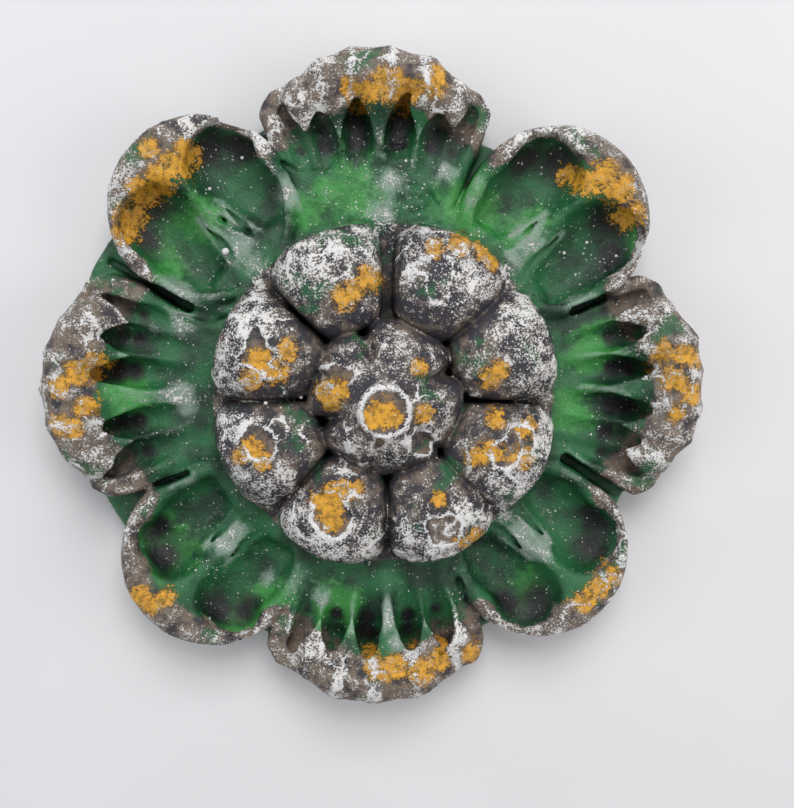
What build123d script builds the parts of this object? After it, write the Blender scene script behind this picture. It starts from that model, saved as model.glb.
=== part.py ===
from build123d import *
import math
import os

# Cast rosette wall tile, one piece, lying on its flat back. Millimetres, +Z out of the decorated face,
# +Y towards the top of the tile, origin at the middle of the back. "Inset" is a distance inwards from the
# tips, so that the petals keep their form when the tile grows or shrinks. Angles run from +X towards +Y.

tip_radius = 77.0

# backing disc, with an uneven edge: direction and inset
back_edge = ((22, 15.0), (67, 15.5), (112, 13.0), (158, 5.8), (203, 7.0), (248, 10.0), (293, 11.0), (338, 10.5))
back_height = 6.5
back_round = 1.8
hub_radius = 45.0
hub_height = 11.0
hub_round = 3.0

# patched filling below the north petal
patch_place = (2.0, 44.0)
patch_length = 27.0
patch_width = 18.0
patch_height = 11.8

# double-scooped petals: direction, tip inset, width, height at the tip, and how far each cup lies to the side
scoops = (
    (42.5, 0.0, 42.6, 18.4, 10.0, 10.4),
    (134.6, 0.3, 41.8, 18.8, 9.6, 10.9),
    (226.0, 0.4, 42.4, 16.8, 10.4, 9.6),
    (314.5, 0.8, 41.8, 16.6, 10.0, 10.2),
)
scoop_slope = 9.6
scoop_under = 4.0
scoop_edge = 3.0
scoop_under_edge = 1.8
neck_inset = 37.0
neck_width = 32.0
bowl_radius = 18.0
bowl_inset = 31.0
bowl_floor = 10.2
cup_inset = 23.2
cup_length = 31.0
cup_width = 18.4
cup_splay = 8.0
cup_floor = 6.6
hollow_inset = 15.4
hollow_radius = 7.0
hollow_floor = 5.6

# fluted petals: direction, height, then angles of the flutes with their depths, and angles of the hood's ridges
fans = (
    (90.0, 20.2, ((17.8, 0.45), (12.1, 0.85), (4.4, 1.05), (-5.2, 1.05), (-13.2, 0.95), (-18.2, 0.5)),
     (17.0, 10.7, 4.7, -2.4, -9.1, -15.5)),
    (-0.5, 19.8, ((18.5, 0.3), (12.2, 0.8), (4.2, 0.9), (-5.0, 0.95), (-11.6, 0.75), (-16.6, 0.6)),
     (15.5, 9.0, 3.0, -3.5, -9.5, -15.0)),
    (-90.0, 18.8, ((22.0, 0.3), (14.8, 0.8), (7.4, 0.8), (-2.4, 0.9), (-10.2, 0.8), (-17.0, 0.45)),
     (15.4, 7.2, -0.8, -8.0, -14.5)),
    (180.0, 20.0, ((16.0, 0.9), (8.6, 0.9), (-3.4, 1.0), (-11.0, 0.95), (-17.0, 0.4)),
     (13.0, 6.7, 0.2, -6.3, -12.5)),
)
fan_side = ((57.0, 11.0), (35.0, 16.5), (27.0, 20.0), (20.5, 23.0), (15.0, 24.4), (11.5, 22.8), (9.5, 17.0))
fan_corner = 1.8
fan_under = 3.2
fan_floor = 11.4
fan_edge = 1.7
fan_rise_inset = 34.0
fan_crest_inset = 16.0
fan_crest = 15.0
fan_crest_width = 35.0
hood_bend = 26.6
hood_bead = 6.8
hood_width = 48.0
hood_end = 5.4
knuckle_inset = 11.6
knuckle_radius = 4.5
flute_root_inset = 38.0
flute_end_inset = 12.0
flute_root_radius = 1.6
flute_least_radius = 1.4
flute_swell = 2.5
flute_root_height = 13.4
flute_end_height = 11.2
panel_radius = 10.0
panel_depth = 0.8

# slots between the petals: both ends, width at each end, floor
slots = (
    ((-61.5, 28.6), (-43.5, 18.2), 2.4, 3.4, 5.2),
    ((-52.0, -23.4), (-44.5, -20.6), 1.1, 1.5, 8.0),
    ((45.0, -17.8), (58.5, -26.6), 2.1, 3.0, 5.4),
    ((46.0, 17.2), (53.5, 20.4), 1.6, 2.2, 6.2),
)

# ring of bosses: direction and height of each
hub_shift = (1.8, -2.1)
bosses = ((20.5, 25.0), (63.0, 25.6), (114.0, 25.4), (159.5, 25.2), (203.5, 24.8), (248.0, 24.6), (292.5, 24.4), (334.5, 24.8))
boss_wedge = 45.0
boss_inner = 16.0
boss_outer = 40.2
boss_gap = 0.8
boss_outer_corner = 6.0
boss_inner_corner = 4.0
boss_height = 25.0
boss_crown = 4.6
boss_swell = 17.0
boss_base = 6.0

# dome and its button; direction and depth of each groove in the dome
dome_radius = 17.0
dome_base = 18.5
dome_height = 29.4
dome_grooves = ((21.0, 1.9), (109.0, 1.8), (160.0, 0.8), (201.0, 2.1), (258.0, 0.8), (315.0, 0.9))
dome_groove_radius = 2.0
dome_groove_top = 66.0
button_shift = (-0.6, -2.1)
button_radius = 6.4
button_height = 31.0
button_ring = 1.1
button_pit = 4.2


def backing():
    """Flat-backed disc that carries the petals, with an uneven edge, the thicker middle and the patched filling."""
    rim = []
    for direction, inset in back_edge:
        rim.append(Vector(tip_radius - inset, 0).rotate(Axis.Z, direction))
    disc = extrude(make_face(Spline(*rim, periodic=True)), back_height)
    disc = fillet(disc.edges().group_by(Axis.Z)[-1], back_round)
    middle = extrude(Circle(hub_radius), hub_height)
    middle = fillet(middle.edges().group_by(Axis.Z)[-1], hub_round)
    patch = extrude(Pos(*patch_place) * Ellipse(patch_length / 2, patch_width / 2), patch_height)
    patch = fillet(patch.edges().group_by(Axis.Z)[-1], back_round)
    return disc + middle + patch


def egg(length, width):
    """Solid egg, round across its long X axis."""
    half = make_face(
        [
            EllipticalCenterArc((0, 0), length / 2, width / 2, start_angle=0, arc_size=180).edge(),
            Line((-length / 2, 0), (length / 2, 0)).edge(),
        ]
    )
    return revolve(half, Axis.X)


def scooped_petal(tip_inset, width, height, left, right):
    """Round petal along +X: a slab that rises to its tip, with a shallow bowl and two deep cups in it."""
    tip = tip_radius - tip_inset
    tip_circle = Pos(tip - width / 2, 0) * Circle(width / 2)
    neck_circle = Pos(tip_radius - neck_inset, 0) * Circle(neck_width / 2)
    outline = make_hull(tip_circle.edges() + neck_circle.edges())
    petal = Pos(0, 0, scoop_under) * extrude(outline, height)
    rise = math.tan(math.radians(scoop_slope))
    petal = split(petal, Plane(origin=(tip, 0, height), z_dir=(-rise, 0, 1)), keep=Keep.BOTTOM)
    petal = fillet(petal.faces().sort_by(Axis.Z)[-1].edges(), scoop_edge)
    petal = fillet(petal.faces().sort_by(Axis.Z)[0].edges(), scoop_under_edge)
    petal -= Pos(tip_radius - bowl_inset, 0, bowl_floor + bowl_radius) * Sphere(bowl_radius)
    for side in (left, -right):
        way = math.copysign(1, side)
        cup = Rot(0, 0, -way * cup_splay) * egg(cup_length, cup_width)
        petal -= Pos(tip_radius - cup_inset, side, cup_floor + cup_width / 2) * cup
        petal -= Pos(tip_radius - hollow_inset, side, hollow_floor + hollow_radius) * Sphere(hollow_radius)
    return petal


def fan_leaf():
    """Plain leaf of a fluted petal, with side wings, and its middle rising to the hood."""
    side = [(tip_radius - inset, across) for inset, across in fan_side]
    other = [(x, -y) for x, y in reversed(side)]
    plan = offset(make_face(Polyline(side + other, close=True)), fan_corner)
    leaf = Pos(0, 0, fan_under) * extrude(plan, fan_floor - fan_under)
    leaf = fillet(leaf.edges().group_by(Axis.Z)[-1], fan_edge)
    start = tip_radius - fan_rise_inset
    crest = tip_radius - fan_crest_inset
    end = crest + hood_bead
    section = Polyline(
        [(start, 0, fan_under), (start, 0, hub_height), (crest, 0, fan_crest), (end, 0, fan_crest), (end, 0, fan_under)],
        close=True,
    )
    return leaf + extrude(make_face(section), fan_crest_width / 2, both=True)


def hood_bow(height):
    """Round bead bent about the petal's own upright axis, with rounded ends."""
    half_turn = math.degrees(math.asin(hood_width / 2 / (hood_bend + hood_bead)))
    bow = Torus(hood_bend, hood_bead, major_angle=2 * half_turn, align=None)
    ends = bow.faces().filter_by(GeomType.PLANE)
    bow = fillet([face.edges()[0] for face in ends], hood_end)
    axis = tip_radius - hood_bead - hood_bend
    return Pos(axis, 0, height - hood_bead) * Rot(0, 0, -half_turn) * bow


def flute(depth):
    """Tapered channel along +X with a round end, which makes one valley and the pocket under the hood."""
    end_radius = flute_least_radius + flute_swell * depth
    run = flute_root_inset - flute_end_inset
    rise = flute_end_height - flute_root_height
    length = math.hypot(run, rise)
    lean = math.degrees(math.atan2(rise, run))
    channel = Pos(length / 2, 0, 0) * Rot(0, 90, 0) * Cone(flute_root_radius, end_radius, length)
    channel += Pos(length, 0, 0) * Sphere(end_radius)
    return Pos(tip_radius - flute_root_inset, 0, flute_root_height) * Rot(0, -lean, 0) * channel


def panel(height):
    """Part ring that hollows the hood's outer face, so that a sharp ridge stays on each side of it."""
    ring = Torus(hood_bead - panel_depth + panel_radius, panel_radius, major_angle=150, align=None)
    return Pos(tip_radius - hood_bead, 0, height - hood_bead) * Rot(90, 0, 0) * Rot(0, 0, -35) * ring


def between(angles):
    """Angles halfway between neighbours."""
    return [(a + b) / 2 for a, b in zip(angles[:-1], angles[1:])]


def fluted_petal(height, flutes, ridges):
    """Fan-shaped petal along +X, with flutes that end in pockets under a rolled, ridged hood."""
    petal = fan_leaf() + hood_bow(height)
    for angle in between([angle for angle, depth in flutes]):
        petal += Rot(0, 0, angle) * Pos(tip_radius - knuckle_inset, 0, height - hood_bead) * Sphere(knuckle_radius)
    for angle, depth in flutes:
        petal -= Rot(0, 0, angle) * flute(depth)
    for angle in between(ridges):
        petal -= Rot(0, 0, angle) * panel(height)
    return petal


def slot(start, end, start_width, end_width, floor):
    """Narrow cutter between two petals."""
    start_circle = Pos(*start) * Circle(start_width / 2)
    end_circle = Pos(*end) * Circle(end_width / 2)
    outline = make_hull(start_circle.edges() + end_circle.edges())
    return Pos(0, 0, floor) * extrude(outline, button_height)


def corner_circle(reach, corner, side):
    """Circle that rounds a boss corner, clear of the next boss by half the gap."""
    half_wedge = math.radians(boss_wedge / 2)
    off = (reach * math.sin(half_wedge) - corner - boss_gap / 2) / math.cos(half_wedge)
    return Pos(reach, side * off) * Circle(corner)


def boss():
    """Wedge-shaped boss along +X, wide outside and narrow inside, with a domed top."""
    corners = []
    for side in (1, -1):
        corners += corner_circle(boss_outer - boss_outer_corner, boss_outer_corner, side).edges()
        corners += corner_circle(boss_inner + boss_inner_corner, boss_inner_corner, side).edges()
    block = Pos(0, 0, boss_base) * extrude(make_hull(corners), boss_height - boss_base)
    block = fillet(block.edges().group_by(Axis.Z)[-1], boss_crown)
    middle = (boss_inner + boss_outer) / 2
    return block & Pos(middle, 0, boss_height - boss_swell) * Sphere(boss_swell)


def dome():
    """Grooved dome in the middle, on a plain foot."""
    rise = dome_height - dome_base
    ball = (dome_radius**2 + rise**2) / (2 * rise)
    cap = Pos(0, 0, dome_height - ball) * Sphere(ball)
    room = Cylinder(dome_radius, rise, align=(Align.CENTER, Align.CENTER, Align.MIN))
    foot = Cylinder(dome_radius, dome_base, align=(Align.CENTER, Align.CENTER, Align.MIN))
    body = (cap & Pos(0, 0, dome_base) * room) + foot
    for angle, depth in dome_grooves:
        bend = ball + dome_groove_radius - depth
        groove = Torus(bend, dome_groove_radius, major_angle=dome_groove_top, align=None)
        body -= Pos(0, 0, dome_height - ball) * Rot(0, 0, angle) * Rot(90, 0, 0) * groove
    return body


def button():
    """Round button with a raised ring and a shallow pit."""
    post = Cylinder(button_radius, button_height - dome_base, align=(Align.CENTER, Align.CENTER, Align.MIN))
    post = Pos(0, 0, dome_base) * post
    post = fillet(post.edges().group_by(Axis.Z)[-1], button_ring)
    pit_ball = button_radius * 2
    pit_drop = math.sqrt(pit_ball**2 - button_pit**2)
    return post - Pos(0, 0, button_height + pit_drop) * Sphere(pit_ball)


def rosette():
    """The whole casting."""
    petals = [Rot(0, 0, direction) * fluted_petal(*form) for direction, *form in fans]
    petals += [Rot(0, 0, direction) * scooped_petal(*form) for direction, *form in scoops]
    tile = backing().fuse(*petals)
    for form in slots:
        tile -= slot(*form)
    one_boss = boss()
    raised = [Rot(0, 0, direction) * Pos(0, 0, height - boss_height) * one_boss for direction, height in bosses]
    raised += [dome(), Pos(*button_shift, 0) * button()]
    return tile.fuse(*[Pos(*hub_shift, 0) * piece for piece in raised])


os.makedirs("parts", exist_ok=True)
export_step(rosette(), "parts/rosette.step")
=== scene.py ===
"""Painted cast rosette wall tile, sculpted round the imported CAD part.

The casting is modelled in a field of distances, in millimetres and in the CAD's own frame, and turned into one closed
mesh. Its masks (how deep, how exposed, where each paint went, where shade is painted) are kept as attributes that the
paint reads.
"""

import math

import bmesh
import bpy
import numpy as np
import openvdb
from mathutils import Matrix, Vector


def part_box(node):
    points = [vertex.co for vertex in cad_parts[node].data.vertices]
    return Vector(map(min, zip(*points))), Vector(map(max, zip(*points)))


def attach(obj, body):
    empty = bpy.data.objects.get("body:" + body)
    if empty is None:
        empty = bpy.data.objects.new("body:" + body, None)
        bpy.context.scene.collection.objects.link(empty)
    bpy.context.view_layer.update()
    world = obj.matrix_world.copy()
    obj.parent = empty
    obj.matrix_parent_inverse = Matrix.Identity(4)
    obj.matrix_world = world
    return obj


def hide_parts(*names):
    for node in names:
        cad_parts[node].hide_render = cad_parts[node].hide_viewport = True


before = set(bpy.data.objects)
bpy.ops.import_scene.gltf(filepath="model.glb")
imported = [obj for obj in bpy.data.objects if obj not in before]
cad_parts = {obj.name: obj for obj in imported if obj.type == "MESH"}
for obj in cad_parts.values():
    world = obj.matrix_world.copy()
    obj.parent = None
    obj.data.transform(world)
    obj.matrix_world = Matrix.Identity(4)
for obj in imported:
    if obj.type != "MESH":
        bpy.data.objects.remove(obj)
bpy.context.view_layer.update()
NODE_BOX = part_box("rosette")

bl_info = {
    "name": "Rosette wall tile",
    "version": (1, 0, 0),
    "blender": (4, 5, 0),
    "location": "3D View > Sidebar > Rosette",
    "description": "Sculpts and paints a cast rosette wall tile, and sets its stage",
    "category": "Object",
}

MM = 0.001
HUB_CENTRE = (1.8, -2.1)
BUTTON_CENTRE = (-0.6, -2.1)  # from the hub's centre
BUTTON_RADIUS = 6.1
BUTTON_RING = 5.3
PETAL_ROOT = 30.0  # where a scooped petal's outline starts
PETAL_ROOT_RADIUS = 13.5
FAN_CENTRE = 43.6  # middle of a fan petal's hood arc, along its axis
FAN_BEND = 26.6  # radius of that arc
HUB_RADIUS = 45.0
HUB_TOP = 11.0
BACKING_TOP = 6.3
LEAF_BOTTOM = 3.2  # underside of the petals, where they leave the backing disc
SCOOP_FALL = 0.17  # how much lower a scooped petal gets for each millimetre away from its tip
BOSS_INNER = 21.0
BOSS_OUTER = 34.9
BOSS_WEDGE = 45.0  # degrees between two bosses
BOSS_CORNER = 5.0
BOSS_GAP = 0.35
DOME_RADIUS = 17.6
FIELD_LOW = (-79.0, -79.0, -1.6)
FIELD_HIGH = (79.0, 79.0, 32.6)
FAR = 8.0  # value of the field where nothing has been put

CAMERA_PLACE = (-6.8, 19.7, 244.7)
CAMERA_AIM = (5.2, -5.6, 0.0)
CAMERA_LENS = 44.55

# Soft lamps: name, place and side length in metres, power, colour.
LAMPS = (
    ("upper_window", (0.05, 0.62, 0.75), 0.55, 6.2, (1.0, 1.0, 1.0)),
    ("left_window", (-0.75, -0.05, 0.45), 0.6, 1.9, (0.94, 0.97, 1.0)),
    ("right_window", (0.75, -0.10, 0.45), 0.6, 2.2, (1.0, 0.97, 0.93)),
)

# Radius of the backing disc by direction, in degrees and millimetres, as far as it shows between the petals.
BACKING_EDGE = {-157: 70.0, -112: 67.0, -67: 66.0, -22: 66.5, 22: 62.0, 67: 61.5, 112: 64.0, 158: 71.5}

# Round petals with two cups. A cup is: its middle along and across the petal, half its length, half its width.
SCOOPED_PETALS = {
    "north_east": {
        "axis": 42.5, "tip": 77.0, "seed": 20, "wide": 21.3, "rib": -0.4, "top": 18.4,
        "left": (54.0, 9.8, 15.6, 9.2), "right": (54.4, -10.4, 15.4, 9.4),
    },
    "south_east": {
        "axis": -45.5, "tip": 76.2, "seed": 26, "wide": 20.9, "rib": 0.0, "top": 16.6,
        "left": (53.6, 9.8, 15.0, 9.0), "right": (54.2, -10.2, 14.6, 9.0),
    },
    "south_west": {
        "axis": -134.0, "tip": 76.6, "seed": 23, "wide": 21.2, "rib": 0.4, "top": 16.8,
        "left": (52.6, 10.4, 15.0, 9.3), "right": (52.6, -9.2, 14.4, 8.9),
    },
    "north_west": {
        "axis": 134.6, "tip": 76.7, "seed": 24, "wide": 20.9, "rib": -0.8, "top": 18.8,
        "left": (53.8, 9.4, 15.8, 9.2), "right": (54.2, -11.0, 14.6, 9.2),
    },
}

# Fan petals. Directions of the flutes and of the sharp edges on the hood are in degrees from the petal's axis.
FLUTED_PETALS = {
    "north": {
        "root": 47.0, "axis": 90.0, "top": 20.2, "out": 0.2,
        "flutes": (17.8, 12.1, 4.4, -5.2, -13.2, -18.2), "depths": (0.45, 0.85, 1.05, 1.05, 0.95, 0.5),
        "arrises": (17.0, 10.7, 4.7, -2.4, -9.1, -15.5),
    },
    "east": {
        "root": 37.0, "axis": -0.5, "top": 19.8, "out": 0.5,
        "flutes": (18.5, 12.2, 4.2, -5.0, -11.6, -16.6), "depths": (0.3, 0.8, 0.9, 0.95, 0.75, 0.6),
        "arrises": (15.5, 9.0, 3.0, -3.5, -9.5, -15.0),
    },
    "south": {
        "root": 40.0, "axis": -90.0, "top": 18.8, "out": 0.2,
        "flutes": (22.0, 14.8, 7.4, -2.4, -10.2, -17.0), "depths": (0.3, 0.8, 0.8, 0.9, 0.8, 0.45),
        "arrises": (15.4, 7.2, -0.8, -8.0, -14.5),
    },
    "west": {
        "root": 37.0, "axis": 180.0, "top": 20.0, "out": 0.6,
        "flutes": (16.0, 8.6, -3.4, -11.0, -17.0), "depths": (0.9, 0.9, 1.0, 0.95, 0.4),
        "arrises": (13.0, 6.7, 0.2, -6.3, -12.5),
    },
}

BOSSES = {
    "north_left": {"axis": 114.0, "out": 0.0, "across": 1.0, "top": 25.4},
    "north_right": {"axis": 63.0, "out": 0.4, "across": 1.08, "top": 25.6},
    "east_upper": {"axis": 20.5, "out": 0.3, "across": 1.0, "top": 25.0},
    "east_lower": {"axis": -25.5, "out": 0.3, "across": 1.0, "top": 24.8},
    "south_right": {"axis": -67.5, "out": 0.2, "across": 0.93, "top": 24.4},
    "south_left": {"axis": -112.0, "out": 0.2, "across": 1.02, "top": 24.6},
    "west_lower": {"axis": -156.5, "out": 0.3, "across": 0.98, "top": 24.8},
    "west_upper": {"axis": 159.5, "out": 0.0, "across": 0.98, "top": 25.2},
}

# Furrows of the dome: direction in degrees, half width, depth.
DOME_FURROWS = (
    (21.0, 2.0, 3.4), (109.0, 1.9, 3.4), (201.0, 2.0, 3.6),
    (258.0, 0.9, 1.1), (315.0, 1.0, 1.3), (160.0, 0.9, 1.1),
)

# Slots between the petals: both ends in millimetres, width, and depth of the bottom above the back.
SLOTS = (
    ((-61.5, 28.6), (-43.5, 18.2), 2.6, 5.2),
    ((-52.0, -23.4), (-44.5, -20.6), 1.5, 8.0),
    ((45.0, -17.8), (58.5, -26.6), 3.0, 5.4),
    ((46.0, 17.2), (53.5, 20.4), 2.2, 6.2),
)

# Cracks and knife lines: points in the plane, half width, depth.
CRACKS = (
    (
        (
            (-23.1, 51.5), (-18.0, 48.7), (-12.5, 49.2), (-10.0, 51.6),
            (-7.3, 53.2), (0.3, 53.5), (4.1, 54.9), (8.7, 55.3),
        ),
        0.34, 0.7,
    ),
    (((5.3, 43.6), (8.0, 39.6), (13.6, 41.6), (11.7, 45.0), (7.6, 46.2)), 0.4, 0.8),
    (((-35.3, 38.1), (-32.4, 36.2), (-29.6, 35.3)), 0.5, 1.5),
    (((-45.6, 16.0), (-38.0, 14.2), (-33.8, 16.4)), 0.4, 0.8),
    (((19.6, -46.6), (20.3, -48.3), (20.9, -51.0)), 0.5, 0.9),
)

# Lumps of filler and drips: place in the plane, size, height.
LUMPS = (
    (2.1, 52.2, 1.2, 0.9), (4.1, 50.6, 1.3, 1.0), (6.0, 52.0, 1.0, 0.8), (3.4, 41.6, 1.2, 0.9), (9.9, 45.0, 1.4, 0.9),
    (-6.2, 39.3, 1.1, 0.8), (-2.8, 38.6, 1.2, 0.8), (9.4, 41.8, 1.3, 0.8), (-20.0, 40.6, 1.6, 0.6),
    (24.0, 44.2, 1.8, 0.7), (-54.0, 22.0, 2.0, 0.9), (-16.0, 43.0, 2.2, 0.6), (14.0, 47.0, 2.0, 0.6),
)

# Small holes: place in the plane, size, depth.
PITS = (
    (-50.2, 44.7, 1.2, 1.3), (-65.5, 21.5, 1.0, 1.4), (-6.1, 66.2, 1.6, 1.1), (7.4, 65.6, 1.8, 1.1),
    (-13.2, 66.8, 2.0, 0.7), (-6.0, -66.8, 1.2, 0.9), (4.2, -65.0, 1.2, 0.9), (14.6, -63.6, 1.2, 0.9),
    (-16.0, -63.5, 1.5, 0.7),
)

# Broken bubbles with raised outlines on the bosses and the dome: place in the plane, radius, depth.
CRATERS = (
    (-25.7, 8.5, 4.2, 0.55), (-27.3, -10.9, 3.6, 0.5), (-10.3, -28.5, 4.4, 0.7), (13.7, -32.2, 4.0, 0.6),
    (28.3, -14.7, 3.4, 0.45), (31.6, -11.3, 2.6, 0.4), (9.2, -11.9, 2.8, 0.6), (-0.3, -12.5, 2.2, 0.4),
    (-8.5, 4.0, 2.4, 0.5),
)

# Where the ochre was dabbed, the bright green brushed and the white dragged: place in the plane and radius.
OCHRE_DABS = (
    (-6.1, 66.2, 2.6), (-1.7, 65.4, 3.0), (2.7, 67.1, 4.0), (7.1, 65.9, 3.4), (12.0, 67.2, 3.4), (12.8, 69.8, 2.6),
    (44.6, 48.7, 2.6), (48.1, 46.5, 3.2), (51.4, 48.0, 3.6), (55.0, 44.7, 3.6), (58.5, 39.1, 3.0),
    (65.6, 8.0, 2.8), (69.9, 7.3, 3.0), (72.7, 6.1, 2.6), (68.1, 1.9, 3.2), (72.5, -2.0, 3.0), (69.0, -6.0, 2.4),
    (52.8, -47.6, 2.8), (49.3, -51.2, 3.2), (55.7, -45.2, 2.6),
    (-0.8, -66.3, 3.0), (4.0, -66.1, 3.6), (9.9, -66.9, 3.6), (14.7, -64.8, 3.2), (21.9, -64.2, 3.0),
    (-53.2, -50.1, 3.0), (-49.7, -48.7, 2.4), (-55.5, -48.4, 2.8),
    (-63.6, 6.0, 2.8), (-67.0, 3.8, 3.4), (-71.1, 0.7, 2.8), (-65.5, -3.7, 3.0), (-71.4, -8.2, 2.8), (-68.6, -8.9, 3.0),
    (-50.2, 52.8, 2.6), (-52.6, 44.1, 3.4), (-44.8, 49.6, 3.4), (-42.6, 52.9, 2.6), (-56.1, 38.7, 3.2),
    (-57.7, 34.3, 2.8), (-48.2, 46.8, 3.4),
    (-5.2, 22.5, 2.6), (-1.5, 24.3, 2.8), (-7.4, 20.3, 3.0), (-3.0, 26.0, 2.0),
    (12.3, 31.2, 2.6), (17.8, 31.9, 3.0), (23.4, 30.4, 2.8), (25.6, 28.2, 2.4),
    (27.0, 4.4, 2.4), (24.7, 2.6, 2.6), (21.5, -15.3, 2.4), (26.4, -6.8, 2.4), (33.9, -8.6, 2.6), (24.9, -14.0, 3.0),
    (32.8, -15.9, 2.8), (13.7, -24.8, 2.2), (22.4, -34.1, 2.4), (19.4, -35.2, 2.2),
    (-11.0, -23.4, 2.6), (-7.6, -22.8, 2.6), (-5.4, -22.4, 2.2), (-10.6, -29.1, 2.8), (-13.7, -25.0, 2.4),
    (-28.6, -13.2, 2.6), (-26.0, -15.9, 2.4), (-30.8, -14.9, 2.4), (-25.7, 5.7, 3.4), (-20.6, 9.0, 2.8),
    (-28.4, 2.4, 3.0), (-22.9, 4.1, 3.2),
    (8.9, 5.1, 2.2), (-8.6, -0.1, 2.4), (-12.5, -0.1, 2.4), (0.1, -4.7, 2.8), (-2.1, -6.3, 2.4), (10.0, -5.2, 2.6),
    (-10.8, -2.5, 2.6), (3.2, -5.6, 1.8),
)
BRIGHT_BRUSHES = (
    (-50.4, -37.8, 9.0), (-27.0, -51.6, 7.0), (-46.5, 27.9, 5.0), (-31.8, -56.6, 6.0), (-56.5, -3.3, 5.0),
    (-57.5, 0.2, 5.0), (28.7, 39.6, 7.0), (46.0, -6.2, 7.0), (33.4, 37.3, 8.0), (-10.8, 45.1, 5.0), (-15.0, 40.0, 5.0),
    (20.0, 42.0, 8.0), (-5.0, 43.5, 9.0), (-46.0, 33.0, 8.0), (50.0, 8.0, 7.0), (-40.0, 38.0, 6.0), (-10.0, -52.0, 7.0),
    (62.0, 35.0, 4.0), (24.0, 18.0, 3.0), (-20.0, 9.0, 3.0), (-24.0, -19.0, 4.0), (13.0, -24.0, 3.0), 
    (36.0, -50.0, 6.0),
)
DRAGGED_WHITE = (
    (-45.3, 15.3, 2.8), (-45.7, 19.9, 2.6), (-45.7, -2.0, 2.8), (-44.6, -4.3, 2.6), (-52.2, 13.1, 2.0),
    (-14.2, -51.1, 2.4), (2.2, -54.3, 2.2), (4.8, -61.3, 2.0), (-31.5, 32.5, 3.6), (-28.1, 28.6, 2.6),
    (34.5, 33.8, 3.0), (31.5, 29.7, 2.4), (30.6, 26.9, 2.0), (30.5, -31.2, 2.2), (34.2, -34.9, 2.6), (39.1, -39.9, 2.4),
    (-33.7, -34.2, 2.4), (-36.1, -37.8, 2.2), (-21.0, 44.0, 2.0), (16.0, 50.0, 2.4), (19.0, 55.0, 2.0),
    (-25.0, 55.0, 2.0),
    (3.0, 47.0, 2.6), (1.0, 39.0, 3.0), (-27.0, -47.0, 2.0),
)
SPATTERED = ((50.0, 33.5, 12.0), (-40.0, 46.0, 8.0), (0.0, 44.0, 12.0), (-36.0, -44.0, 8.0))

# Drops of white paint that stand proud: place in the plane and radius.
BEADS = (
    (-34.9, 30.9, 0.85), (-25.3, -3.3, 0.45), (-17.5, -1.9, 0.4), (-16.9, -10.5, 0.5), (-15.9, -11.7, 0.4),
    (50.0, 33.5, 0.4), (44.6, 31.0, 0.4), (56.8, 30.2, 0.35), (-38.4, 45.2, 0.4), (-31.0, 52.6, 0.4),
)


def smooth_most(a, b, soft):
    """The greater of two fields, rounded where they meet."""
    mix = np.clip(0.5 + 0.5 * (a - b) / soft, 0.0, 1.0)
    return b + (a - b) * mix + soft * mix * (1.0 - mix)


def smooth_least(a, b, soft):
    """The lesser of two fields, rounded where they meet."""
    return -smooth_most(-a, -b, soft)


def ramp(value, start, end):
    """Rises smoothly from 0 at start to 1 at end."""
    t = np.clip((value - start) / (end - start), 0.0, 1.0)
    return t * t * (3.0 - 2.0 * t)


def turned(x, y, degrees):
    """Coordinates along and across a direction in the plane."""
    c = math.cos(math.radians(degrees))
    s = math.sin(math.radians(degrees))
    return x * c + y * s, y * c - x * s


def lumps(x, y, z, size, seed):
    """Smooth random lumps about as large as size, between -1 and 1."""
    table = np.random.RandomState(seed).uniform(-1.0, 1.0, (32, 32, 32)).astype(np.float32)
    cells = []
    parts = []
    for value in (x, y, z):
        scaled = np.asarray(value, np.float32) / size + 100.0
        low = np.floor(scaled).astype(np.int32)
        part = scaled - low
        cells.append(low)
        parts.append(part * part * (3.0 - 2.0 * part))
    total = 0.0
    for i in (0, 1):
        for j in (0, 1):
            for k in (0, 1):
                weight = parts[0] if i else 1.0 - parts[0]
                weight = weight * (parts[1] if j else 1.0 - parts[1])
                weight = weight * (parts[2] if k else 1.0 - parts[2])
                corner = table[(cells[0] + i) % 32, (cells[1] + j) % 32, (cells[2] + k) % 32]
                total = total + weight * corner
    return total


def rough(x, y, z, size, seed):
    """Lumps of three sizes added together."""
    total = lumps(x, y, z, size, seed)
    total = total + 0.5 * lumps(x, y, z, size * 0.47, seed + 1)
    return (total + 0.25 * lumps(x, y, z, size * 0.22, seed + 2)) / 1.75


def pear(u, v, start, start_radius, end, end_radius):
    """Distance from the outline round two circles on the u axis."""
    length = end - start
    slope = (start_radius - end_radius) / length
    level = math.sqrt(1.0 - slope * slope)
    side = np.abs(v)
    along = u - start
    k = level * along - slope * side
    near_start = np.sqrt(side**2 + along**2) - start_radius
    near_end = np.sqrt(side**2 + (along - length) ** 2) - end_radius
    between = side * level + along * slope - start_radius
    return np.where(k < 0.0, near_start, np.where(k > level * length, near_end, between))


def polygon(u, v, corners):
    """Distance from a polygon in the plane."""
    best = None
    inside = np.zeros(np.broadcast(u, v).shape, bool)
    for i, (ax, ay) in enumerate(corners):
        bx, by = corners[i - 1]
        ex, ey = bx - ax, by - ay
        t = np.clip(((u - ax) * ex + (v - ay) * ey) / (ex * ex + ey * ey), 0.0, 1.0)
        gap = (u - ax - ex * t) ** 2 + (v - ay - ey * t) ** 2
        best = gap if best is None else np.minimum(best, gap)
        crosses = ((ay > v) != (by > v)) & (u < ex * (v - ay) / (ey if ey else 1e-9) + ax)
        inside ^= crosses
    return np.where(inside, -1.0, 1.0) * np.sqrt(best)


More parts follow.
